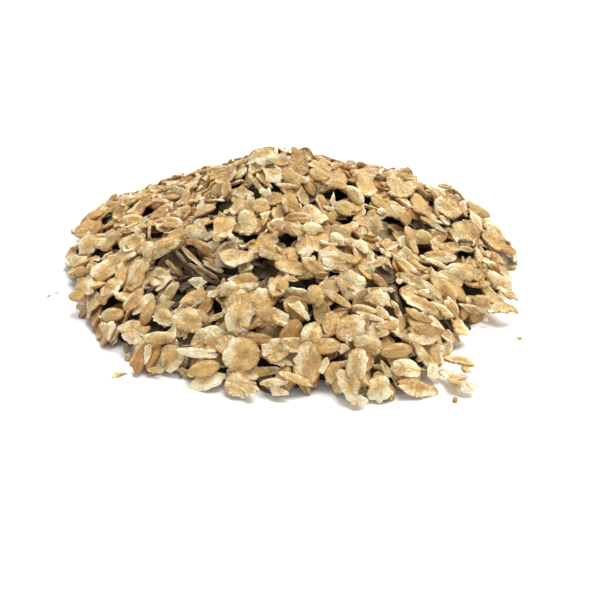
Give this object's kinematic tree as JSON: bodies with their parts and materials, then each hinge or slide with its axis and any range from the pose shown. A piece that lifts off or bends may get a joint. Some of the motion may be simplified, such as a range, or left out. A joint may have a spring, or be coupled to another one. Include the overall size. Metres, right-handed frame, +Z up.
{
  "type": "heap of rolled wheat flakes",
  "caption": "Loose low heap of rolled wheat flakes as poured on a flat surface, a broad dome with an uneven ragged foot; dry food to look at, scoop or cook.",
  "frame": {"origin": "on the surface the heap lies on, under the middle of the heap", "axes": "+Z up, -Y towards the front of the heap, +X to the right along its width"},
  "size_m": [0.1486, 0.1439, 0.0351],
  "materials": {
    "wheat_flakes": "dry matt flattened grain: golden tan bran with cream white frayed edges and fine cracks, dark gaps between the flakes"
  },
  "bodies": {
    "root": {"wheat_flake_heap": "wheat_flakes"}
  },
  "joints": []
}
